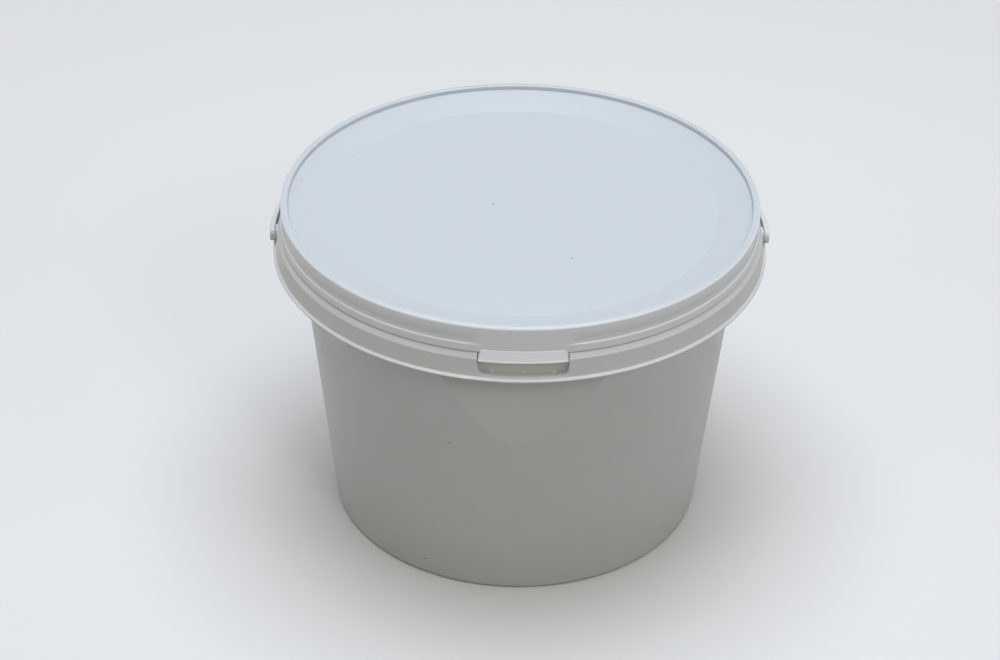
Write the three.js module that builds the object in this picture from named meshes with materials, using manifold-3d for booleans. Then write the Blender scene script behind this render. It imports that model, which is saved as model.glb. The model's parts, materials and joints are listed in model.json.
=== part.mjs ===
// A round white food bucket of about three litres with a press-on lid and a folding band handle.
// Millimetres, +Z up, the origin at the centre of the base, the opening tab at the front (-Y).
import * as THREE from 'three';
import { mergeVertices } from 'three/addons/utils/BufferGeometryUtils.js';
import Module from 'manifold-3d';

const wasm = await Module();
wasm.setup();

// How finely the round pieces are divided
const roundSegments = 72;
const pinSegments = 20;

// Clearance between pieces that touch or move past each other
const seatGap = 0.3;
const slideGap = 0.4;

// How far the cutting shapes reach past the pieces they cut
const overcut = 5;

// Bucket body. Heights and radii below follow from the rim.
const wallThickness = 1.3;
const floorThickness = 1.5;
const rimRadius = 95.1;
const rimHeight = 136.4;
const rimRound = 0.4;
const ledgeDrop = 8.4;
const ledgeHeight = rimHeight - ledgeDrop;
const shoulderDrop = 9.8;
const shoulderHeight = ledgeHeight - shoulderDrop;
const shoulderInset = 6.1;
const shoulderRadius = rimRadius - shoulderInset;
const shoulderRise = 3.8;
const shoulderInnerLift = 0.85;
const wallTaper = 12.3;
const baseRadius = shoulderRadius - wallTaper;
const baseRound = 1.6;
const footHeight = 1.2;
const footWidth = 4;
const innerCornerRound = 3;

// Collar round the bucket: a sloping ledge and a skirt with a small lip along its bottom edge
const skirtThickness = 1.25;
const skirtLength = 8.55;
const skirtReach = 3.9;
const skirtBottomRadius = rimRadius + skirtReach;
const lipReach = 1;
const lipHeight = 0.7;
const lipSlope = 0.6;
const ledgeEdgeDrop = 2.2;
const ledgeEdgeHeight = ledgeHeight - ledgeEdgeDrop;
const ledgeEdgeReach = 3;
const ledgeEdgeRadius = rimRadius + ledgeEdgeReach;
const skirtBottom = ledgeEdgeHeight - skirtLength;
const ledgeThickness = 1.7;
const ledgeTopReach = 1.3;
const ledgeTopRadius = rimRadius + ledgeTopReach;
const ledgeRound = 0.35;

// Flat thumb recess in the wall under the tab
const thumbLength = 40;
const thumbBottom = shoulderHeight - thumbLength;
const thumbDepth = 7.8;
const thumbRows = 5;
const thumbMargin = 1;

// Pocket in the collar under the lid's tab
const pocketHalfWidth = 17.4;
const pocketDepth = 9;
const pocketFloor = ledgeHeight - pocketDepth;
const pocketWeb = 1.2;
const pocketCorner = 3.2;
const pocketBackStep = 0.4;
const pocketBackRadius = rimRadius + pocketBackStep;
const bridgeSpacing = 11.8;
const bridgeWidth = 1.5;
const bridgeDepth = 1.2;

// Lid
const lidThickness = 1.2;
const lidReach = 1.5;
const lidRadius = rimRadius + lidReach;
const brimWidth = 16.4;
const panelRadius = lidRadius - brimWidth;
const panelRound = 0.6;
const panelDrop = 2;
const panelHeight = rimHeight - panelDrop;
const brimRise = 1.4;
const brimOuterHeight = rimHeight + brimRise;
const beadRise = 3.4;
const beadHeight = rimHeight + beadRise;
const beadWidth = 3;
const beadRound = 1.2;
const beadInnerRound = 0.35;
const beadWall = 0.96;
const lidStepRise = 4;
const lidStepHeight = ledgeHeight + lidStepRise;
const lidStep = 0.25;
const lidStepSlope = 0.7;
const plugDepth = 6;
const plugChamfer = 0.4;
const tabReach = 1.6;
const tabThickness = 1.1;
const tabEdge = 0.88;
const tabRise = 0.5;
const tabDroop = 0.8;
const tabSlant = 1.2;

// Handle
const pivotDrop = 6;
const pivotHeight = ledgeHeight - pivotDrop;
const bandHeight = 6.2;
const bandThickness = 1.7;
const hubThickness = 2.05;
const hubRearLength = 11;
const hubBlend = 1;
const pinRadius = 2.2;
const pinHeadRadius = 2.9;
const pinHeadThickness = 0.9;
const earRadius = 3.6;

// Materials
const whitePlastic = () => new THREE.MeshStandardMaterial({ color: 0xdedfdd, roughness: 0.42, metalness: 0 });
const clearPlastic = () => new THREE.MeshStandardMaterial({ color: 0xdfe6ec, roughness: 0.3, metalness: 0 });

// Closed mesh to solid and back
function toSolid(geometry) {
  const bare = geometry.clone();
  bare.deleteAttribute('normal');
  bare.deleteAttribute('uv');
  const merged = mergeVertices(bare, 1e-4);
  return new wasm.Manifold(new wasm.Mesh({
    numProp: 3,
    vertProperties: new Float32Array(merged.attributes.position.array),
    triVerts: new Uint32Array(merged.index.array),
  }));
}

function toGeometry(solid) {
  const mesh = solid.getMesh();
  const geometry = new THREE.BufferGeometry();
  geometry.setAttribute('position', new THREE.BufferAttribute(new Float32Array(mesh.vertProperties), 3));
  geometry.setIndex(new THREE.BufferAttribute(new Uint32Array(mesh.triVerts), 1));
  geometry.computeVertexNormals();
  return geometry;
}

// Points of an arc in a profile, from one angle to another in degrees
function arc(centreX, centreY, radius, fromDegrees, toDegrees, steps) {
  const points = [];
  for (let i = 0; i <= steps; i += 1) {
    const angle = THREE.MathUtils.degToRad(fromDegrees + ((toDegrees - fromDegrees) * i) / steps);
    points.push([centreX + radius * Math.cos(angle), centreY + radius * Math.sin(angle)]);
  }
  return points;
}

// Solid of revolution about Z from a profile of [radius, height] points
function turned(profile) {
  const points = profile.map(([radius, height]) => new THREE.Vector2(radius, height));
  const geometry = new THREE.LatheGeometry(points, roundSegments);
  geometry.rotateX(Math.PI / 2);
  return geometry;
}

// Bar along -Y whose front view is the given outline of [x, z] points
function frontBar(outline, nearY, farY) {
  const shape = new THREE.Shape(outline.map(([x, z]) => new THREE.Vector2(x, z)));
  const geometry = new THREE.ExtrudeGeometry(shape, { depth: farY - nearY, bevelEnabled: false });
  geometry.rotateX(Math.PI / 2);
  geometry.translate(0, -nearY, 0);
  return toSolid(geometry);
}

// Bar along X whose side view is the given outline of [y, z] points
function sideBar(outline, halfLength) {
  const shape = new THREE.Shape(outline.map(([y, z]) => new THREE.Vector2(y, z)));
  const geometry = new THREE.ExtrudeGeometry(shape, { depth: 2 * halfLength, bevelEnabled: false });
  geometry.rotateY(Math.PI / 2);
  geometry.rotateX(Math.PI / 2);
  geometry.translate(-halfLength, 0, 0);
  return toSolid(geometry);
}

// Round bar along X between two distances from the centre
function crossPin(radius, fromX, toX, side) {
  const geometry = new THREE.CylinderGeometry(radius, radius, toX - fromX, pinSegments);
  geometry.rotateZ(Math.PI / 2);
  geometry.translate((side * (fromX + toX)) / 2, 0, pivotHeight);
  return toSolid(geometry);
}

// Outside radius of the tapered wall at a height
function wallRadius(height) {
  return baseRadius + ((shoulderRadius - baseRadius) * height) / shoulderHeight;
}

// Distance of the flat thumb recess from the axis at a height
function thumbPlane(height) {
  const share = (height - thumbBottom) / (shoulderHeight - thumbBottom);
  return wallRadius(height) - thumbDepth * share;
}

// Outside radius of the skirt at a height, above its lip
function skirtRadius(height) {
  const share = (height - skirtBottom) / (ledgeEdgeHeight - skirtBottom);
  return skirtBottomRadius + (ledgeEdgeRadius - skirtBottomRadius) * share;
}

// Heights of the rows of points that carry the thumb recess, from low to high
function recessRows() {
  const rows = [];
  for (let i = 0; i < thumbRows; i += 1) {
    rows.push(thumbBottom + ((shoulderHeight - thumbBottom) * i) / thumbRows);
  }
  return rows;
}

// Profile of the moulded bucket: underside, outside up to the rim, inside back down
function bucketProfile() {
  const rimInside = rimRadius - wallThickness;
  const floorTop = footHeight + floorThickness;
  const footInside = baseRadius - baseRound - footWidth;
  const innerShoulder = shoulderHeight + shoulderInnerLift;
  const innerShoulderTop = innerShoulder + shoulderRise;
  const insideRadius = (height) => wallRadius(height) - wallThickness;
  const cornerCentre = insideRadius(floorTop + innerCornerRound) - innerCornerRound;
  const lipTop = skirtBottom + lipHeight + lipSlope;
  const rows = recessRows();
  return [
    [0, footHeight],
    [footInside - footHeight, footHeight],
    [footInside, 0],
    ...arc(wallRadius(baseRound) - baseRound, baseRound, baseRound, -90, 0, 3),
    ...rows.map((height) => [wallRadius(height), height]),
    [shoulderRadius, shoulderHeight],
    [rimRadius, shoulderHeight + shoulderRise],
    [rimRadius, ledgeHeight - ledgeThickness],
    [skirtRadius(ledgeEdgeHeight) - skirtThickness, ledgeEdgeHeight - ledgeRound],
    [skirtBottomRadius - skirtThickness, skirtBottom],
    [skirtBottomRadius + lipReach, skirtBottom],
    [skirtBottomRadius + lipReach, skirtBottom + lipHeight],
    [skirtRadius(lipTop), lipTop],
    [ledgeEdgeRadius, ledgeEdgeHeight],
    [ledgeTopRadius + ledgeRound, ledgeHeight - ledgeRound],
    [ledgeTopRadius - ledgeRound, ledgeHeight],
    [rimRadius, ledgeHeight],
    [rimRadius, rimHeight - rimRound],
    [rimRadius - rimRound, rimHeight],
    [rimInside + rimRound, rimHeight],
    [rimInside, rimHeight - rimRound],
    [rimInside, innerShoulderTop],
    [insideRadius(innerShoulder), innerShoulder],
    ...rows.reverse().map((height) => [insideRadius(height), height]),
    ...arc(cornerCentre, floorTop + innerCornerRound, innerCornerRound, 0, -90, 3),
    [0, floorTop],
  ];
}

// Press the front of the wall in to the flat plane of the thumb recess
function pressThumbRecess(geometry) {
  const position = geometry.attributes.position;
  const middle = (shoulderRadius + rimRadius) / 2;
  for (let i = 0; i < position.count; i += 1) {
    const x = position.getX(i);
    const y = position.getY(i);
    const z = position.getZ(i);
    const radius = Math.hypot(x, y);
    const inRows = z > thumbBottom && z < shoulderHeight + thumbMargin && radius < middle;
    if (inRows && y < 0) {
      const height = Math.min(z, shoulderHeight);
      const inside = radius < wallRadius(height) - wallThickness / 2;
      const plane = thumbPlane(height) - (inside ? wallThickness : 0);
      const limit = (plane * radius) / -y;
      const scale = Math.min(1, limit / radius);
      position.setX(i, x * scale);
      position.setY(i, y * scale);
    }
  }
  return geometry;
}

// Front view of the tab pocket with rounded lower corners, grown by a margin
function pocketOutline(margin, top) {
  const half = pocketHalfWidth + margin;
  const floor = pocketFloor - margin;
  const corner = pocketCorner + margin;
  return [
    [half, top],
    [-half, top],
    ...arc(-half + corner, floor + corner, corner, 180, 270, 4),
    ...arc(half - corner, floor + corner, corner, 270, 360, 4),
  ];
}

function buildBucket() {
  let bucket = toSolid(pressThumbRecess(turned(bucketProfile())));

  // Webs that close the pocket between the skirt and the wall
  const near = rimRadius - 2 * overcut;
  const far = skirtBottomRadius + 2 * overcut;
  const webBack = pocketBackRadius - wallThickness;
  const webTop = ledgeHeight - ledgeThickness / 2;
  const web = toSolid(turned([
    [webBack, pocketFloor - pocketWeb],
    [skirtRadius(pocketFloor - pocketWeb) - skirtThickness / 2, pocketFloor - pocketWeb],
    [skirtRadius(webTop) - skirtThickness / 2, webTop],
    [webBack, webTop],
    [webBack, pocketFloor - pocketWeb],
  ]));
  bucket = bucket.add(web.intersect(frontBar(pocketOutline(pocketWeb, webTop + overcut), near, far)));

  // The pocket itself, open to the front and up through the ledge
  const core = toSolid(turned([
    [0, skirtBottom - overcut],
    [pocketBackRadius, skirtBottom - overcut],
    [pocketBackRadius, rimHeight + overcut],
    [0, rimHeight + overcut],
  ]));
  const window = frontBar(pocketOutline(0, lidStepHeight), near, far);
  bucket = bucket.subtract(window.subtract(core));

  // Stubs of the three bridges along the back of the pocket floor
  for (const step of [-1, 0, 1]) {
    const x = step * bridgeSpacing;
    const back = Math.sqrt(pocketBackRadius ** 2 - x ** 2);
    const stub = new THREE.BoxGeometry(bridgeWidth, bridgeDepth * 2, bridgeDepth * 2);
    stub.translate(x, -back, pocketFloor);
    bucket = bucket.add(toSolid(stub));
  }

  // Flat ears on the skirt with holes for the handle's pins
  const earFace = skirtRadius(pivotHeight - bandHeight / 2);
  const earRoot = skirtRadius(pivotHeight) - skirtThickness / 2;
  for (const side of [-1, 1]) {
    bucket = bucket.add(crossPin(earRadius, earRoot, earFace, side));
    const hole = crossPin(pinRadius + slideGap, rimRadius + seatGap, skirtBottomRadius + overcut, side);
    bucket = bucket.subtract(hole);
  }
  return toGeometry(bucket);
}

// Profile of the lid: underside outwards, up the skirt, and the top face back to the axis
function lidProfile() {
  const beadInside = lidRadius - beadWidth;
  const skirtFoot = ledgeHeight + seatGap;
  const skirtInside = rimRadius + slideGap;
  const plugOutside = rimRadius - wallThickness - slideGap;
  const plugInside = plugOutside - lidThickness;
  const channelTop = rimHeight + seatGap;
  const channelInside = beadInside + beadWall;
  const slope = (brimOuterHeight - panelHeight) / (beadInside - panelRadius);
  const plugRoot = brimOuterHeight - lidThickness - (beadInside - plugInside) * slope;
  return [
    [0, panelHeight - lidThickness],
    [panelRadius - panelRound, panelHeight - lidThickness],
    [panelRadius + panelRound, panelHeight - lidThickness + panelRound * slope],
    [plugInside, plugRoot],
    [plugInside, channelTop - plugDepth],
    [plugOutside - plugChamfer, channelTop - plugDepth],
    [plugOutside, channelTop - plugDepth + plugChamfer],
    [plugOutside, channelTop],
    [channelInside, channelTop],
    [channelInside, beadHeight - lidThickness],
    [skirtInside, beadHeight - lidThickness],
    [skirtInside, skirtFoot],
    [lidRadius, skirtFoot],
    [lidRadius + lidStep, skirtFoot + lidStep],
    [lidRadius + lidStep, lidStepHeight - lidStepSlope],
    [lidRadius, lidStepHeight],
    ...arc(lidRadius - beadRound, beadHeight - beadRound, beadRound, 0, 90, 3),
    [beadInside + beadInnerRound, beadHeight],
    [beadInside, beadHeight - beadInnerRound],
    [beadInside, brimOuterHeight],
    [panelRadius + panelRound, panelHeight + panelRound * slope],
    [panelRadius - panelRound, panelHeight],
    [0, panelHeight],
  ];
}

function buildLid() {
  const lid = toSolid(turned(lidProfile()));

  // Opening tab: a short sloping lip over the pocket
  const lipTop = ledgeHeight + tabThickness + tabRise;
  const lipEdge = lidRadius + tabReach;
  const lipFoot = ledgeEdgeHeight - tabDroop;
  const lipUnder = ledgeHeight - slideGap / 2;
  const inner = rimRadius + slideGap;
  const lip = toSolid(turned([
    [inner, ledgeHeight + seatGap],
    [lidRadius, lipUnder],
    [lipEdge, lipFoot],
    [lipEdge, lipFoot + tabEdge],
    [lidRadius, lipTop],
    [inner, lipTop + slideGap],
    [inner, ledgeHeight + seatGap],
  ]));
  const half = pocketHalfWidth - slideGap;
  const reach = frontBar([
    [half, lipFoot - tabRise],
    [half, lipUnder],
    [half - tabSlant, lidStepHeight],
    [-half + tabSlant, lidStepHeight],
    [-half, lipUnder],
    [-half, lipFoot - tabRise],
  ], rimRadius - 2 * overcut, lipEdge + 2 * overcut);
  return toGeometry(lid.add(lip.intersect(reach)));
}

// Inside of the handle band, clear of the skirt and the ears
function handleInside() {
  return skirtRadius(pivotHeight - bandHeight / 2) + slideGap;
}

// Plan of the handle band: a half ring whose ends thicken round the pins
function bandPlan(insideRadius, outsideRadius, endLength) {
  const steps = roundSegments / 2;
  const hubOutside = insideRadius + hubThickness;
  const hubSide = (side) => [
    [side * Math.sqrt(outsideRadius ** 2 - hubRearLength ** 2), hubRearLength],
    [side * hubOutside, hubRearLength / 3],
    [side * hubOutside, -endLength / 2],
    [side * (insideRadius + bandThickness / 2), -endLength],
    [side * insideRadius, -endLength],
  ];
  const rear = arc(0, 0, outsideRadius, 0, 180, steps).filter(([, y]) => y > hubRearLength + hubBlend);
  const inner = arc(0, 0, insideRadius, 180, 0, steps);
  return [...rear, ...hubSide(-1), ...inner, ...hubSide(1).reverse()];
}

function buildHandle() {
  const half = bandHeight / 2;
  const insideRadius = handleInside();
  const outsideRadius = insideRadius + bandThickness;
  const plan = bandPlan(insideRadius, outsideRadius, half).map(([x, y]) => new THREE.Vector2(x, y));
  const ring = new THREE.ExtrudeGeometry(new THREE.Shape(plan), { depth: bandHeight, bevelEnabled: false });
  ring.translate(0, 0, pivotHeight - half);

  // Side view that rounds the ends of the band about the pins
  const reach = outsideRadius + hubThickness;
  const side = sideBar([
    [reach, pivotHeight + half],
    ...arc(0, pivotHeight, half, 90, 270, 8),
    [reach, pivotHeight - half],
  ], reach);
  let handle = toSolid(ring).intersect(side);

  // Pins through the skirt with a head behind it
  const headFrom = rimRadius + seatGap;
  for (const end of [-1, 1]) {
    handle = handle.add(crossPin(pinRadius, headFrom, insideRadius + bandThickness / 2, end));
    handle = handle.add(crossPin(pinHeadRadius, headFrom, headFrom + pinHeadThickness, end));
  }
  return toGeometry(handle);
}

const group = new THREE.Group();

function addPiece(name, geometry, material) {
  const mesh = new THREE.Mesh(geometry, material);
  mesh.name = name;
  group.add(mesh);
}

addPiece('bucket', buildBucket(), whitePlastic());
addPiece('lid', buildLid(), clearPlastic());
addPiece('handle', buildHandle(), whitePlastic());

export default group;
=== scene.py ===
# A round white food bucket with a milky clear lid and a folded band handle, on a plain pale floor.
import json
import math

import bmesh
import bpy
from mathutils import Euler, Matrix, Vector


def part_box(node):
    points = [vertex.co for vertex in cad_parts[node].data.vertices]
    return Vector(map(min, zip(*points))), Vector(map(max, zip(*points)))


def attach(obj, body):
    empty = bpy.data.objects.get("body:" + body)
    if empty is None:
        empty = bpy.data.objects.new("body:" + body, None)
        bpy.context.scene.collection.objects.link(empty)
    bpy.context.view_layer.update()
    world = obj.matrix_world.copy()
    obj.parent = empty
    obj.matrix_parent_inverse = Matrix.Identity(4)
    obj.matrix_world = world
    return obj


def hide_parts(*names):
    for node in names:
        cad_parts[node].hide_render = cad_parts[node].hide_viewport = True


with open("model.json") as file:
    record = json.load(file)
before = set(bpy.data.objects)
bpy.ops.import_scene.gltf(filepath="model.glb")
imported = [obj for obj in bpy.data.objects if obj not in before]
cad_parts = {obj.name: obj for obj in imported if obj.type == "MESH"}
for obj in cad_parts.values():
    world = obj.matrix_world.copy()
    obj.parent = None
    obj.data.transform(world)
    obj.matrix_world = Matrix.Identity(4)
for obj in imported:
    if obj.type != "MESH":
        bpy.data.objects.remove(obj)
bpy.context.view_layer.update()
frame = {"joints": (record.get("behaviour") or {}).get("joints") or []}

MM = 0.001


def measured(metres):
    """A measure of the frame in millimetres, to the nearest thousandth."""
    return round(metres / MM, 3)


# Roundness of the turned pieces
SEGMENTS = 288
PIN_SEGMENTS = 48
FILLET_STEPS = 5
SHARP_ANGLE = math.radians(40)

# Driving sizes, in millimetres, taken from the frame
bucket_low, bucket_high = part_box("bucket")
swing = next(joint for joint in frame["joints"] if joint["name"] == "handle_swing")
PIVOT_HEIGHT = measured(swing["pos_m"][2])
RIM_HEIGHT = measured(bucket_high.z)
LIP_RADIUS = measured(-bucket_low.y)

# Clearance between pieces that touch or move past each other
SEAT_GAP = 0.3
SLIDE_GAP = 0.4

# How far the cutters of the pocket and the pin holes reach past the skirt
POCKET_REACH = 8.0
HOLE_REACH = 5.0

# Collar: a sloping ledge and a skirt with a small lip along its bottom edge
SKIRT_RADIUS = LIP_RADIUS - 1.0
RIM_RADIUS = SKIRT_RADIUS - 3.9
LEDGE_HEIGHT = RIM_HEIGHT - 8.4
LEDGE_TOP_RADIUS = RIM_RADIUS + 1.3
LEDGE_THICKNESS = 1.7
LEDGE_EDGE_HEIGHT = LEDGE_HEIGHT - 2.2
LEDGE_EDGE_RADIUS = RIM_RADIUS + 3.0
SKIRT_THICKNESS = 1.25
SKIRT_BOTTOM = LEDGE_EDGE_HEIGHT - 8.55
LIP_HEIGHT = 0.7
LIP_SLOPE = 0.6

# Wall and floor of the bucket
WALL = 1.3
SHOULDER_HEIGHT = LEDGE_HEIGHT - 9.8
SHOULDER_RADIUS = RIM_RADIUS - 6.1
SHOULDER_TOP = SHOULDER_HEIGHT + 3.8
SHOULDER_INNER_LIFT = 0.85
BASE_RADIUS = SHOULDER_RADIUS - 12.3
FOOT_HEIGHT = 1.2
FOOT_INSIDE = BASE_RADIUS - 5.6
FOOT_SLOPE = 1.2
FLOOR_TOP = FOOT_HEIGHT + 1.5
BUCKET_EDGE = 0.36

# Thumb recess and tab pocket
THUMB_BOTTOM = SHOULDER_HEIGHT - 40.0
THUMB_DEPTH = 7.8
THUMB_CUTTER_HALF = 38.0
THUMB_CUTTER_GAP = 0.4
THUMB_CUTTER_BELOW = 6.0
POCKET_HALF = 17.4
POCKET_FLOOR = LEDGE_HEIGHT - 9.0
POCKET_WEB = 1.2
POCKET_CORNER = 3.2
POCKET_CORNER_STEPS = 8
POCKET_FLAT_STEPS = 32
POCKET_BACK = RIM_RADIUS + 0.4
BRIDGE_SPACING = 11.8
BRIDGE_WIDTH = 1.5
BRIDGE_DEPTH = 1.2
BRIDGE_ROOT = 0.6

# Lid
LID_THICKNESS = 1.2
LID_RADIUS = RIM_RADIUS + 1.5
PANEL_HEIGHT = RIM_HEIGHT - 2.0
PANEL_RADIUS = LID_RADIUS - 16.4
BRIM_HEIGHT = RIM_HEIGHT + 1.4
BEAD_HEIGHT = RIM_HEIGHT + 3.4
BEAD_WIDTH = 3.0
BEAD_WALL = 0.96
LID_FOOT = LEDGE_HEIGHT + SEAT_GAP
LID_STEP_HEIGHT = LEDGE_HEIGHT + 4.0
LID_STEP = 0.25
WAIST_HEIGHT = LID_STEP_HEIGHT + 1.8
WAIST_DEPTH = 0.35
WAIST_TOP = BEAD_HEIGHT - 3.0
WAIST_FADE = 2.0
PLUG_OUTSIDE = RIM_RADIUS - WALL - SLIDE_GAP
PLUG_BOTTOM = RIM_HEIGHT + SEAT_GAP - 6.0
LID_EDGE = 0.15

# Opening tab
TAB_REACH = 1.6
TAB_BEAD = 0.35
TAB_DROOP = 0.8
TAB_RISE = 1.6
TAB_SLANT = 1.2
TAB_STEPS = 48

# Handle
BAND_HEIGHT = 6.2
BAND_THICKNESS = 1.7
BAND_ROUND = 0.45
BAND_STEPS = 180
END_STEPS = 14
HUB_THICKNESS = 2.05
HUB_REAR = 11.0
HUB_FRONT = 2.0
PIN_RADIUS = 2.2
PIN_HOLE_RADIUS = PIN_RADIUS + SLIDE_GAP
PIN_HEAD_RADIUS = 2.9
PIN_HEAD_FROM = RIM_RADIUS + SEAT_GAP
PIN_HEAD_THICKNESS = 0.9
EAR_RADIUS = 3.6
SKIRT_FLARE = (SKIRT_RADIUS - LEDGE_EDGE_RADIUS) / (LEDGE_EDGE_HEIGHT - SKIRT_BOTTOM)
EAR_FACE = round(SKIRT_RADIUS - SKIRT_FLARE * (PIVOT_HEIGHT - BAND_HEIGHT / 2 - SKIRT_BOTTOM), 3)
HANDLE_INSIDE = EAR_FACE + SLIDE_GAP
HANDLE_EDGE = 0.2

# Camera, fitted to the rims, the base and the walls in the photograph
IMAGE_WIDTH = 1000
SENSOR_WIDTH = 36.0
FOCAL_PIXELS = 2686.2
CAMERA_TURN = math.radians(-1.3)
CAMERA_PLACE = Vector((0.0, -0.9320, 0.6922))
CAMERA_AIM = Vector((-0.0075, 0.0, 0.0751))
CAMERA_ROLL = math.radians(0.78)


# Profiles and meshes

def rounded(corners):
    """Points of a profile of (radius, height, fillet) corners with each corner rounded."""
    points = []
    for i, (radius, height, fillet) in enumerate(corners):
        corner = Vector((radius, height))
        if fillet <= 0 or i in (0, len(corners) - 1):
            points.append(corner)
            continue
        back = Vector(corners[i - 1][:2]) - corner
        ahead = Vector(corners[i + 1][:2]) - corner
        half_turn = back.angle(ahead) / 2
        cut = min(fillet / math.tan(half_turn), 0.48 * back.length, 0.48 * ahead.length)
        bend = cut * math.tan(half_turn)
        middle = (back.normalized() + ahead.normalized()).normalized()
        centre = corner + middle * (bend / math.sin(half_turn))
        start = corner + back.normalized() * cut - centre
        end = corner + ahead.normalized() * cut - centre
        first = math.atan2(start.y, start.x)
        sweep = (math.atan2(end.y, end.x) - first + math.pi) % (2 * math.pi) - math.pi
        for k in range(FILLET_STEPS + 1):
            angle = first + sweep * k / FILLET_STEPS
            points.append(centre + bend * Vector((math.cos(angle), math.sin(angle))))
    return points


def mesh_object(name, vertices, faces):
    mesh = bpy.data.meshes.new(name)
    mesh.from_pydata([Vector(v) * MM for v in vertices], [], faces)
    mesh.update()
    made = bmesh.new()
    made.from_mesh(mesh)
    bmesh.ops.remove_doubles(made, verts=made.verts, dist=1e-7)
    bmesh.ops.recalc_face_normals(made, faces=made.faces)
    made.to_mesh(mesh)
    made.free()
    piece = bpy.data.objects.new(name, mesh)
    bpy.context.scene.collection.objects.link(piece)
    return piece


def turned(name, points, shape=None):
    """Closed mesh of a profile turned about Z. The profile runs from axis to axis."""
    vertices = []
    rings = []
    for radius, height in points:
        first = len(vertices)
        if radius < 1e-6:
            vertices.append((0.0, 0.0, height))
            rings.append([first])
            continue
        for k in range(SEGMENTS):
            angle = 2 * math.pi * k / SEGMENTS
            place = (radius * math.cos(angle), radius * math.sin(angle), height)
            vertices.append(shape(*place) if shape else place)
        rings.append(list(range(first, first + SEGMENTS)))
    faces = []
    for low, high in zip(rings, rings[1:]):
        for k in range(SEGMENTS):
            after = (k + 1) % SEGMENTS
            loop = [low[k % len(low)], low[after % len(low)]]
            loop += [high[after % len(high)], high[k % len(high)]]
            faces.append(list(dict.fromkeys(loop)))
    return mesh_object(name, vertices, faces)


def lofted(name, sections):
    """Closed mesh through a row of like sections, capped at both ends."""
    size = len(sections[0])
    vertices = [place for section in sections for place in section]
    faces = []
    for i in range(len(sections) - 1):
        for k in range(size):
            after = (k + 1) % size
            here = i * size
            there = here + size
            faces.append([here + k, here + after, there + after, there + k])
    faces.append(list(range(size)))
    faces.append([len(vertices) - 1 - k for k in range(size)])
    return mesh_object(name, vertices, faces)


def combined(piece, tool, operation):
    """Joins or cuts a piece with a tool, and removes the tool."""
    change = piece.modifiers.new("change", "BOOLEAN")
    change.operation = operation
    change.solver = "EXACT"
    change.object = tool
    bpy.context.view_layer.update()
    depsgraph = bpy.context.evaluated_depsgraph_get()
    mesh = bpy.data.meshes.new_from_object(piece.evaluated_get(depsgraph))
    piece.modifiers.clear()
    piece.data = mesh
    bpy.data.objects.remove(tool)


def finished(piece, edge):
    """Rounds the cut edges a little and shades the piece smooth between them."""
    bevel = piece.modifiers.new("edges", "BEVEL")
    bevel.width = edge * MM
    bevel.segments = 2
    bevel.limit_method = "ANGLE"
    bevel.angle_limit = SHARP_ANGLE
    bevel.use_clamp_overlap = True
    piece.data.shade_smooth()
    piece.data.set_sharp_from_angle(angle=SHARP_ANGLE)
    normals = piece.modifiers.new("normals", "WEIGHTED_NORMAL")
    normals.keep_sharp = True


# Bucket

def wall_radius(height):
    return BASE_RADIUS + (SHOULDER_RADIUS - BASE_RADIUS) * height / SHOULDER_HEIGHT


def thumb_plane(height):
    share = (height - THUMB_BOTTOM) / (SHOULDER_HEIGHT - THUMB_BOTTOM)
    return wall_radius(height) - THUMB_DEPTH * share


def skirt_radius(height):
    share = (height - SKIRT_BOTTOM) / (LEDGE_EDGE_HEIGHT - SKIRT_BOTTOM)
    return SKIRT_RADIUS + (LEDGE_EDGE_RADIUS - SKIRT_RADIUS) * share


def inner_rows(low, high, count):
    """Rows of points up the inside of the wall, from high to low."""
    rows = []
    for i in range(count + 1):
        height = high + (low - high) * i / count
        rows.append((wall_radius(height) - WALL, height, 0))
    return rows


def pressed_inside(x, y, z):
    """Presses the inside of the wall in behind the thumb recess."""
    radius = math.hypot(x, y)
    in_wall = THUMB_BOTTOM - 4 < z < SHOULDER_HEIGHT + 1.2 and radius < wall_radius(z) - WALL / 2
    if not in_wall or y > -1:
        return (x, y, z)
    plane = thumb_plane(min(z, SHOULDER_HEIGHT)) - WALL
    scale = min(1.0, plane / -y)
    return (x * scale, y * scale, z)


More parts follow.
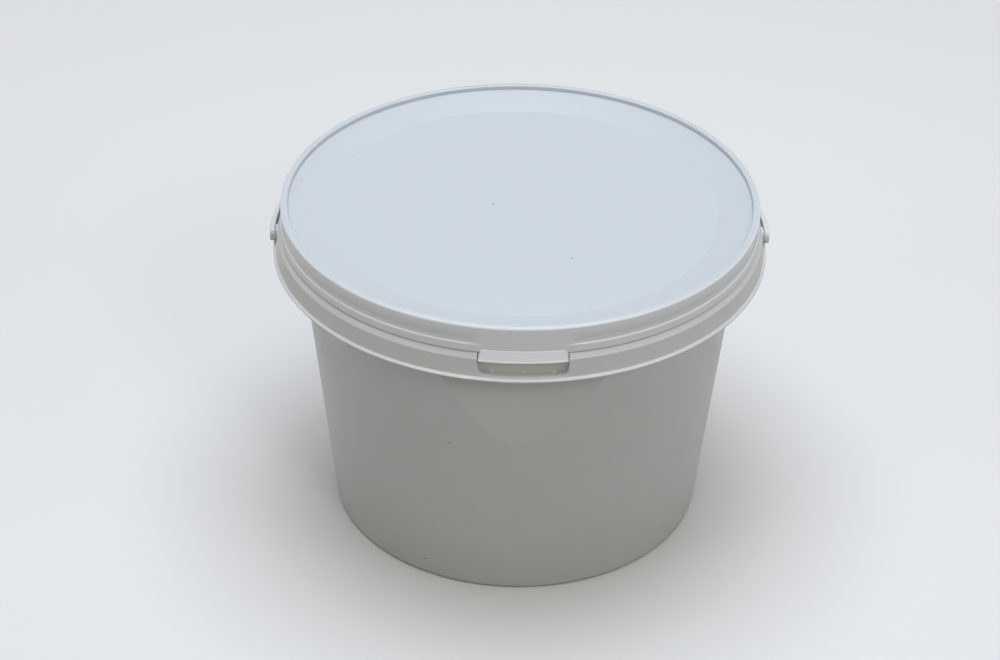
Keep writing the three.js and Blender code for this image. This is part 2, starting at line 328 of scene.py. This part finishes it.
def bucket_body():
    rim_inside = RIM_RADIUS - WALL
    inner_top = SHOULDER_HEIGHT + SHOULDER_INNER_LIFT
    lip_top = SKIRT_BOTTOM + LIP_HEIGHT + LIP_SLOPE
    corners = [
        (0, FOOT_HEIGHT, 0),
        (FOOT_INSIDE - FOOT_SLOPE, FOOT_HEIGHT, 0.6),
        (FOOT_INSIDE, 0, 0.5),
        (wall_radius(0), 0, 1.6),
        (wall_radius(60), 60, 0),
        (SHOULDER_RADIUS, SHOULDER_HEIGHT, 1.2),
        (RIM_RADIUS, SHOULDER_TOP, 1.2),
        (RIM_RADIUS, LEDGE_HEIGHT - LEDGE_THICKNESS, 0.6),
        (skirt_radius(LEDGE_EDGE_HEIGHT) - SKIRT_THICKNESS, LEDGE_EDGE_HEIGHT - 0.3, 0.6),
        (SKIRT_RADIUS - SKIRT_THICKNESS, SKIRT_BOTTOM, 0.35),
        (LIP_RADIUS, SKIRT_BOTTOM, 0.3),
        (LIP_RADIUS, SKIRT_BOTTOM + LIP_HEIGHT, 0.35),
        (skirt_radius(lip_top), lip_top, 0.5),
        (LEDGE_EDGE_RADIUS, LEDGE_EDGE_HEIGHT, 1.3),
        (LEDGE_TOP_RADIUS, LEDGE_HEIGHT, 0.6),
        (RIM_RADIUS, LEDGE_HEIGHT, 0.3),
        (RIM_RADIUS, RIM_HEIGHT, 0.5),
        (rim_inside, RIM_HEIGHT, 0.5),
        (rim_inside, SHOULDER_TOP + 0.7, 1.5),
        (wall_radius(inner_top) - WALL, inner_top, 0.8),
        *inner_rows(THUMB_BOTTOM - 2, SHOULDER_HEIGHT - 1, 20),
        (wall_radius(FLOOR_TOP) - WALL, FLOOR_TOP, 3.0),
        (0, FLOOR_TOP, 0),
    ]
    return turned("bucket_body", rounded(corners), pressed_inside)


def thumb_cutter():
    """Wedge that leaves the flat face of the thumb recess."""
    low = THUMB_BOTTOM - THUMB_CUTTER_BELOW
    high = SHOULDER_HEIGHT
    front = -(SHOULDER_RADIUS + THUMB_CUTTER_GAP)
    section = [(front, low), (front, high), (-thumb_plane(high), high), (-thumb_plane(low), low)]
    ends = (-THUMB_CUTTER_HALF, THUMB_CUTTER_HALF)
    return lofted("thumb_cutter", [[(x, y, z) for y, z in section] for x in ends])


def pocket_columns(margin):
    """Places across the pocket and the height of its rounded floor at each."""
    half = POCKET_HALF + margin
    floor = POCKET_FLOOR - margin
    corner = POCKET_CORNER + margin
    columns = []
    for k in range(POCKET_CORNER_STEPS):
        angle = math.radians(90 * k / POCKET_CORNER_STEPS)
        across = -half + corner - corner * math.cos(angle)
        columns.append((across, floor + corner - corner * math.sin(angle)))
    flat = half - corner
    for k in range(POCKET_FLAT_STEPS + 1):
        columns.append((-flat + 2 * flat * k / POCKET_FLAT_STEPS, floor))
    return columns + [(-x, z) for x, z in reversed(columns[:POCKET_CORNER_STEPS])]


def pocket_web():
    """Webs round the pocket, between the skirt and the wall."""
    back = POCKET_BACK - WALL
    top = LEDGE_HEIGHT - LEDGE_THICKNESS / 2
    inset = SKIRT_THICKNESS / 2
    upper = skirt_radius(top) - inset
    sections = []
    for x, floor in pocket_columns(POCKET_WEB):
        loop = [(back, floor), (skirt_radius(floor) - inset, floor), (upper, top), (back, top)]
        sections.append([(x, -math.sqrt(radius ** 2 - x ** 2), z) for radius, z in loop])
    return lofted("pocket_web", sections)


def pocket_cutter():
    front = -(SKIRT_RADIUS + POCKET_REACH)
    top = LID_STEP_HEIGHT
    sections = []
    for x, floor in pocket_columns(0):
        back = -math.sqrt(POCKET_BACK ** 2 - x ** 2)
        sections.append([(x, front, floor), (x, front, top), (x, back, top), (x, back, floor)])
    return lofted("pocket_cutter", sections)


def bridge_stub(x):
    """Stub of a broken bridge along the back of the pocket floor."""
    back = -math.sqrt(POCKET_BACK ** 2 - x ** 2)
    half = BRIDGE_WIDTH / 2
    low = POCKET_FLOOR - BRIDGE_DEPTH / 2
    high = low + 1.5 * BRIDGE_DEPTH
    loop = [(back + BRIDGE_ROOT, low), (back - BRIDGE_DEPTH, low), (back, high), (back + BRIDGE_ROOT, high)]
    return lofted("bridge_stub", [[(x + dx, y, z) for y, z in loop] for dx in (-half, half)])


def cross_pin(name, radius, start, end, side):
    """Round bar along X at the height of the handle's pins."""
    sections = []
    for reach in (start, end):
        ring = []
        for k in range(PIN_SEGMENTS):
            angle = 2 * math.pi * k / PIN_SEGMENTS
            height = PIVOT_HEIGHT + radius * math.sin(angle)
            ring.append((side * reach, radius * math.cos(angle), height))
        sections.append(ring)
    return lofted(name, sections)


def crisp_recess(piece):
    """Keeps the edge of the flat thumb recess crisp where it meets the round wall."""
    made = bmesh.new()
    made.from_mesh(piece.data)
    for edge in made.edges:
        middle = (edge.verts[0].co + edge.verts[1].co) / (2 * MM)
        in_height = THUMB_BOTTOM - 1 < middle.z < SHOULDER_HEIGHT - 0.5
        outside = middle.y < -60 and math.hypot(middle.x, middle.y) > thumb_plane(middle.z) - 0.3
        if in_height and outside and edge.calc_face_angle(0) > math.radians(2.5):
            edge.smooth = False
    made.to_mesh(piece.data)
    made.free()


def make_bucket():
    bucket = bucket_body()
    combined(bucket, thumb_cutter(), "DIFFERENCE")
    combined(bucket, pocket_web(), "UNION")
    combined(bucket, pocket_cutter(), "DIFFERENCE")
    for step in (-1, 0, 1):
        combined(bucket, bridge_stub(step * BRIDGE_SPACING), "UNION")
    ear_root = skirt_radius(PIVOT_HEIGHT) - SKIRT_THICKNESS / 2
    for side in (-1, 1):
        ear = cross_pin("ear", EAR_RADIUS, ear_root, EAR_FACE, side)
        combined(bucket, ear, "UNION")
        hole = cross_pin("pin_hole", PIN_HOLE_RADIUS, PIN_HEAD_FROM, SKIRT_RADIUS + HOLE_REACH, side)
        combined(bucket, hole, "DIFFERENCE")
    finished(bucket, BUCKET_EDGE)
    crisp_recess(bucket)
    return bucket


# Lid

def flush_at_tab(x, y, z):
    """Lets the waist and the step in the lid's skirt fade out over the tab."""
    radius = math.hypot(x, y)
    outside = radius > LID_RADIUS - WAIST_DEPTH - 0.05 and z < WAIST_TOP
    if not outside or y > 0:
        return (x, y, z)
    beyond = min(1.0, max(0.0, (abs(x) - POCKET_HALF) / WAIST_FADE))
    goal = LID_RADIUS + (radius - LID_RADIUS) * beyond
    return (x * goal / radius, y * goal / radius, z)


def lid_body():
    bead_inside = LID_RADIUS - BEAD_WIDTH
    channel_inside = bead_inside + BEAD_WALL
    channel_outside = RIM_RADIUS + SLIDE_GAP
    channel_top = RIM_HEIGHT + SEAT_GAP
    plug_inside = PLUG_OUTSIDE - LID_THICKNESS
    slope = (BRIM_HEIGHT - PANEL_HEIGHT) / (bead_inside - PANEL_RADIUS)
    root = BRIM_HEIGHT - LID_THICKNESS - (bead_inside - plug_inside) * slope
    corners = [
        (0, PANEL_HEIGHT - LID_THICKNESS, 0),
        (PANEL_RADIUS + 0.3, PANEL_HEIGHT - LID_THICKNESS, 0.8),
        (plug_inside, root, 0.6),
        (plug_inside, PLUG_BOTTOM, 0.3),
        (PLUG_OUTSIDE, PLUG_BOTTOM, 0.5),
        (PLUG_OUTSIDE, channel_top, 0.2),
        (channel_inside, channel_top, 0.2),
        (channel_inside, BEAD_HEIGHT - LID_THICKNESS, 0.3),
        (channel_outside, BEAD_HEIGHT - LID_THICKNESS, 0.3),
        (channel_outside, LID_FOOT, 0.3),
        (LID_RADIUS + LID_STEP, LID_FOOT, 0.35),
        (LID_RADIUS + LID_STEP, LID_STEP_HEIGHT - 0.6, 0.5),
        (LID_RADIUS - 0.6 * WAIST_DEPTH, LID_STEP_HEIGHT, 0.5),
        (LID_RADIUS - WAIST_DEPTH, WAIST_HEIGHT, 2.0),
        (LID_RADIUS, WAIST_TOP, 1.0),
        (LID_RADIUS, BEAD_HEIGHT, 1.2),
        (bead_inside, BEAD_HEIGHT, 0.6),
        (bead_inside, BRIM_HEIGHT, 0.5),
        (PANEL_RADIUS, PANEL_HEIGHT, 1.0),
        (0, PANEL_HEIGHT, 0),
    ]
    return turned("lid_body", rounded(corners), flush_at_tab)


def lid_tab():
    """Short sloping lip over the pocket, with slanted ends."""
    inner = RIM_RADIUS + SLIDE_GAP
    edge = LID_RADIUS + TAB_REACH
    foot = LEDGE_EDGE_HEIGHT - TAB_DROOP
    top = LEDGE_HEIGHT + TAB_RISE
    corners = [
        (inner, LEDGE_HEIGHT + SEAT_GAP, 0),
        (LID_RADIUS, LEDGE_HEIGHT - 0.2, 0.4),
        (edge - 0.2, foot, 0.1),
        (edge + TAB_BEAD, foot, 0.2),
        (edge + TAB_BEAD, foot + 0.5, 0.2),
        (edge, foot + 0.95, 0.4),
        (LID_RADIUS + 0.1, top, 1.2),
        (inner, top + 0.4, 0),
    ]
    loop = rounded(corners)
    half = POCKET_HALF - SLIDE_GAP
    sections = []
    for k in range(TAB_STEPS + 1):
        share = 2 * k / TAB_STEPS - 1
        section = []
        for radius, height in loop:
            slant = TAB_SLANT * max(0.0, height - LEDGE_HEIGHT + 0.2) / (top - LEDGE_HEIGHT)
            x = share * (half - slant)
            section.append((x, -math.sqrt(radius ** 2 - x ** 2), height))
        sections.append(section)
    return lofted("lid_tab", sections)


def make_lid():
    lid = lid_body()
    combined(lid, lid_tab(), "UNION")
    finished(lid, LID_EDGE)
    return lid


# Handle

def band_section(place, outwards, thickness, half_height):
    """Rounded flat section of the band. Place is a point on its inner face."""
    edge = min(BAND_ROUND, 0.45 * thickness, 0.9 * half_height)
    upper = half_height - edge
    outer = thickness - edge
    loop = []
    corners = ((outer, upper, 0), (edge, upper, 90), (edge, -upper, 180), (outer, -upper, 270))
    for corner_n, corner_z, start in corners:
        for k in range(4):
            angle = math.radians(start + 30 * k)
            reach = corner_n + edge * math.cos(angle)
            height = PIVOT_HEIGHT + corner_z + edge * math.sin(angle)
            loop.append((place[0] + outwards[0] * reach, place[1] + outwards[1] * reach, height))
    return loop


def pad_share(y):
    """How much of the hub's extra thickness the band has at a distance behind the pins."""
    if y >= HUB_REAR:
        return 0.0
    return 0.5 + 0.5 * math.cos(math.pi * max(0.0, y - HUB_FRONT) / (HUB_REAR - HUB_FRONT))


def band_thickness(y):
    return BAND_THICKNESS + (HUB_THICKNESS - BAND_THICKNESS) * pad_share(y)


def band_end(side):
    """Sections of the rounded end in front of a pin, from its tip to the pin."""
    half = BAND_HEIGHT / 2
    sections = []
    for k in range(END_STEPS):
        angle = math.radians(6 + 84 * k / END_STEPS)
        y = -half * math.cos(angle)
        thickness = band_thickness(y) * min(1.0, 0.5 + math.sin(angle))
        place = (side * HANDLE_INSIDE, y)
        sections.append(band_section(place, (side, 0), thickness, half * math.sin(angle)))
    return sections


def make_handle():
    sections = band_end(1)
    for k in range(BAND_STEPS + 1):
        angle = math.pi * k / BAND_STEPS
        outwards = (math.cos(angle), math.sin(angle))
        place = (HANDLE_INSIDE * outwards[0], HANDLE_INSIDE * outwards[1])
        sections.append(band_section(place, outwards, band_thickness(place[1]), BAND_HEIGHT / 2))
    sections += reversed(band_end(-1))
    handle = lofted("handle_band", sections)
    for side in (-1, 1):
        pin = cross_pin("pin", PIN_RADIUS, PIN_HEAD_FROM + 0.2, HANDLE_INSIDE + 0.6, side)
        combined(handle, pin, "UNION")
        head_to = PIN_HEAD_FROM + PIN_HEAD_THICKNESS
        head = cross_pin("pin_head", PIN_HEAD_RADIUS, PIN_HEAD_FROM, head_to, side)
        combined(handle, head, "UNION")
    finished(handle, HANDLE_EDGE)
    return handle


# Materials

def node(tree, kind, **values):
    made = tree.nodes.new(kind)
    for name, value in values.items():
        setattr(made, name, value)
    return made


def noise(tree, place, scale, detail, rough=0.5):
    made = node(tree, "ShaderNodeTexNoise")
    made.inputs["Scale"].default_value = scale
    made.inputs["Detail"].default_value = detail
    made.inputs["Roughness"].default_value = rough
    tree.links.new(place, made.inputs["Vector"])
    return made.outputs["Fac"]


def ranged(tree, value, low, high, to_low, to_high):
    made = node(tree, "ShaderNodeMapRange", interpolation_type="SMOOTHSTEP")
    made.inputs["From Min"].default_value = low
    made.inputs["From Max"].default_value = high
    made.inputs["To Min"].default_value = to_low
    made.inputs["To Max"].default_value = to_high
    tree.links.new(value, made.inputs["Value"])
    return made.outputs["Result"]


def mixed(tree, share, first, second):
    made = node(tree, "ShaderNodeMix", data_type="RGBA", blend_type="MIX")
    tree.links.new(share, made.inputs["Factor"])
    for socket, colour in (("A", first), ("B", second)):
        target = next(s for s in made.inputs if s.name == socket and s.type == "RGBA")
        if isinstance(colour, tuple):
            target.default_value = (*colour, 1.0)
        else:
            tree.links.new(colour, target)
    return next(s for s in made.outputs if s.type == "RGBA")


def speck_mask(tree, place, specks):
    """One where a grain of dust lies and zero elsewhere. A speck is a point in millimetres and a radius."""
    total = None
    for centre, radius in specks:
        distance = node(tree, "ShaderNodeVectorMath", operation="DISTANCE")
        tree.links.new(place, distance.inputs[0])
        distance.inputs[1].default_value = [c * MM for c in centre]
        mask = ranged(tree, distance.outputs["Value"], 0.4 * radius * MM, radius * MM, 1.0, 0.0)
        if total is None:
            total = mask
        else:
            both = node(tree, "ShaderNodeMath", operation="MAXIMUM")
            tree.links.new(total, both.inputs[0])
            tree.links.new(mask, both.inputs[1])
            total = both.outputs["Value"]
    return total


def beyond_radius(tree, place, inner, outer):
    """Zero inside a radius in millimetres about the upright axis, rising to one outside another."""
    flat = node(tree, "ShaderNodeVectorMath", operation="MULTIPLY")
    tree.links.new(place, flat.inputs[0])
    flat.inputs[1].default_value = (1, 1, 0)
    length = node(tree, "ShaderNodeVectorMath", operation="LENGTH")
    tree.links.new(flat.outputs["Vector"], length.inputs[0])
    return ranged(tree, length.outputs["Value"], inner * MM, outer * MM, 0.0, 1.0)


def plastic(name, pale, deep, rough, specks=(), scatter=0.3,
            bump=0.03, cloudy=(14, 4), rubs=0.05):
    """Moulded plastic: cloudy tone, specks, rubbed patches and a faint orange-peel surface."""
    material = bpy.data.materials.new(name)
    material.use_nodes = True
    tree = material.node_tree
    shader = tree.nodes["Principled BSDF"]
    place = node(tree, "ShaderNodeTexCoord").outputs["Object"]
    cloud = ranged(tree, noise(tree, place, *cloudy), 0.35, 0.65, 0.0, 1.0)
    colour = mixed(tree, cloud, pale, deep)
    if specks:
        colour = mixed(tree, speck_mask(tree, place, specks), colour, SPECK)
    tree.links.new(colour, shader.inputs["Base Color"])
    rubbed = noise(tree, place, RUB_SCALE, 5, 0.6)
    tree.links.new(ranged(tree, rubbed, 0.3, 0.75, rough - rubs, rough + rubs), shader.inputs["Roughness"])
    peel = node(tree, "ShaderNodeBump")
    peel.inputs["Strength"].default_value = bump
    peel.inputs["Distance"].default_value = PEEL_HEIGHT
    tree.links.new(noise(tree, place, PEEL_SCALE, 2), peel.inputs["Height"])
    tree.links.new(peel.outputs["Normal"], shader.inputs["Normal"])
    shader.inputs["IOR"].default_value = PLASTIC_IOR
    shader.inputs["Subsurface Weight"].default_value = scatter
    shader.inputs["Subsurface Radius"].default_value = SCATTER_REACH
    shader.inputs["Subsurface Scale"].default_value = SCATTER_DEPTH * MM
    return material


def clouded(material, panel_alpha, rim_alpha, rim_painted_light):
    """Makes the lid's plastic milky clear, and paints its outer rim and skirt paler as painted light, for
    the top light that glows through the clear skirt.
    """
    tree = material.node_tree
    shader = tree.nodes["Principled BSDF"]
    place = node(tree, "ShaderNodeTexCoord").outputs["Object"]
    rim = beyond_radius(tree, place, RIM_RADIUS + 0.5, LID_RADIUS)
    colour = shader.inputs["Base Color"].links[0].from_socket
    # Painted light: the paler colour over the rim and skirt stands for top light glowing through the clear
    # plastic
    tree.links.new(mixed(tree, rim, colour, rim_painted_light), shader.inputs["Base Color"])
    tree.links.new(ranged(tree, rim, 0, 1, panel_alpha, rim_alpha), shader.inputs["Alpha"])
    return material


def dressed(piece, material, body, cad_node):
    piece.data.materials.clear()
    piece.data.materials.append(material)
    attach(piece, body)
    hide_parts(cad_node)


# Floor, light and camera

def seen(tree):
    """One for rays that show the backdrop and zero for rays that light the object."""
    rays = node(tree, "ShaderNodeLightPath")
    share = rays.outputs["Is Camera Ray"]
    for kind in ("Is Glossy Ray", "Is Transmission Ray"):
        either = node(tree, "ShaderNodeMath", operation="MAXIMUM")
        tree.links.new(share, either.inputs[0])
        tree.links.new(rays.outputs[kind], either.inputs[1])
        share = either.outputs["Value"]
    return share


def make_stage():
    """Pale floor that takes the object's shadow and fades into the backdrop far away."""
    corners = [(-FLOOR_REACH, -FLOOR_REACH, 0), (FLOOR_REACH, -FLOOR_REACH, 0),
               (FLOOR_REACH, FLOOR_REACH, 0), (-FLOOR_REACH, FLOOR_REACH, 0)]
    floor = mesh_object("floor", corners, [[0, 1, 2, 3]])
    material = bpy.data.materials.new("pale_floor")
    material.use_nodes = True
    tree = material.node_tree
    tree.nodes.clear()
    share = seen(tree)
    lit = node(tree, "ShaderNodeBsdfDiffuse")
    tree.links.new(mixed(tree, share, FLOOR_BOUNCE, FLOOR_SEEN), lit.inputs["Color"])
    plain = node(tree, "ShaderNodeEmission")
    plain.inputs["Color"].default_value = (*BACKDROP, 1.0)
    place = node(tree, "ShaderNodeTexCoord").outputs["Object"]
    far = node(tree, "ShaderNodeMath", operation="MULTIPLY")
    tree.links.new(beyond_radius(tree, place, FADE_FROM, FADE_TO), far.inputs[0])
    tree.links.new(share, far.inputs[1])
    blend = node(tree, "ShaderNodeMixShader")
    tree.links.new(far.outputs["Value"], blend.inputs["Fac"])
    tree.links.new(lit.outputs["BSDF"], blend.inputs[1])
    tree.links.new(plain.outputs["Emission"], blend.inputs[2])
    output = node(tree, "ShaderNodeOutputMaterial")
    tree.links.new(blend.outputs["Shader"], output.inputs["Surface"])
    floor.data.materials.append(material)


def make_lamp(name, size, place, power, colour=(1, 1, 1)):
    """Round soft lamp that points at the upper part of the bucket."""
    light = bpy.data.lights.new(name, "AREA")
    light.shape = "DISK"
    light.size = size
    light.energy = power
    light.color = colour
    lamp = bpy.data.objects.new(name, light)
    lamp.location = place
    lamp.rotation_euler = (LAMP_AIM - Vector(place)).to_track_quat("-Z", "Y").to_euler()
    bpy.context.scene.collection.objects.link(lamp)


def make_world(colour, strength):
    world = bpy.data.worlds.new("studio")
    world.use_nodes = True
    tree = world.node_tree
    share = seen(tree)
    background = tree.nodes["Background"]
    tree.links.new(mixed(tree, share, colour, BACKDROP), background.inputs["Color"])
    tree.links.new(ranged(tree, share, 0, 1, strength, 1), background.inputs["Strength"])
    bpy.context.scene.world = world


def make_camera():
    camera = bpy.data.cameras.new("camera")
    camera.sensor_width = SENSOR_WIDTH
    camera.lens = SENSOR_WIDTH * FOCAL_PIXELS / IMAGE_WIDTH
    camera.clip_end = 50
    turn = Euler((0, 0, CAMERA_TURN)).to_matrix()
    place = turn @ CAMERA_PLACE
    aim = turn @ CAMERA_AIM
    looking = (aim - place).to_track_quat("-Z", "Y").to_matrix()
    holder = bpy.data.objects.new("camera", camera)
    rotation = looking @ Euler((0, 0, CAMERA_ROLL)).to_matrix()
    holder.matrix_world = rotation.to_4x4()
    holder.location = place
    bpy.context.scene.collection.objects.link(holder)
    bpy.context.scene.camera = holder


# The scene

RUB_SCALE = 45
PEEL_SCALE = 420
PEEL_HEIGHT = 0.0004
PLASTIC_IOR = 1.49
SCATTER_DEPTH = 2.0
SCATTER_REACH = (1.0, 0.92, 0.82)
WHITE_PALE = (0.72, 0.72, 0.705)
WHITE_DEEP = (0.70, 0.70, 0.683)
CLEAR_PALE = (0.68, 0.72, 0.742)
CLEAR_DEEP = (0.672, 0.712, 0.734)
# Paler lid colour for the rim and skirt: painted light for top light glowing through the clear skirt
CLEAR_RIM_PAINTED_LIGHT = (0.95, 0.965, 0.975)
LAMP_AIM = Vector((0, 0, 0.1))
FLOOR_BOUNCE = (0.30, 0.30, 0.30)
FLOOR_SEEN = (0.80, 0.79, 0.765)
BACKDROP = (0.72, 0.73, 0.735)
FLOOR_REACH = 4000
FADE_FROM = 600
FADE_TO = 1500
PANEL_ALPHA = 0.8
RIM_ALPHA = 0.94
SPECK = (0.27, 0.26, 0.24)
WALL_SPECKS = [((-28.0, -79.7, 74.8), 0.45), ((-37.8, -67.7, 8.0), 0.6)]
LID_SPECKS = [
    ((-10.9, 2.9, PANEL_HEIGHT), 0.6),
    ((19.8, -38.0, PANEL_HEIGHT), 0.55),
    ((-89.4, 17.1, BRIM_HEIGHT - 0.8), 0.5),
]

bucket = make_bucket()
lid = make_lid()
handle = make_handle()
white = plastic("white_bucket", WHITE_PALE, WHITE_DEEP, 0.4, WALL_SPECKS)
dressed(bucket, white, "bucket", "bucket")
milky = plastic("clear_lid", CLEAR_PALE, CLEAR_DEEP, 0.3, LID_SPECKS, scatter=0.1,
                bump=0.015, cloudy=(7, 1), rubs=0.015)
# The lid's rim and skirt get a paler colour as painted light
dressed(lid, clouded(milky, PANEL_ALPHA, RIM_ALPHA, CLEAR_RIM_PAINTED_LIGHT), "lid", "lid")
white_band = plastic("white_handle", WHITE_PALE, WHITE_DEEP, 0.38)
dressed(handle, white_band, "handle", "handle")

make_stage()
make_camera()
make_world((1.0, 0.9, 0.72), 0.23)
make_lamp("overhead", 1.6, (0, 0.1, 1.7), 25.5, (0.88, 0.97, 1.12))
make_lamp("key", 0.5, (0.75, -1.6, 1.45), 4.6)
make_lamp("right_fill", 0.9, (1.6, -0.9, 0.9), 3.2)
make_lamp("left_fill", 0.9, (-1.6, -0.9, 0.9), 2.8)

bpy.context.scene.view_settings.view_transform = "Standard"
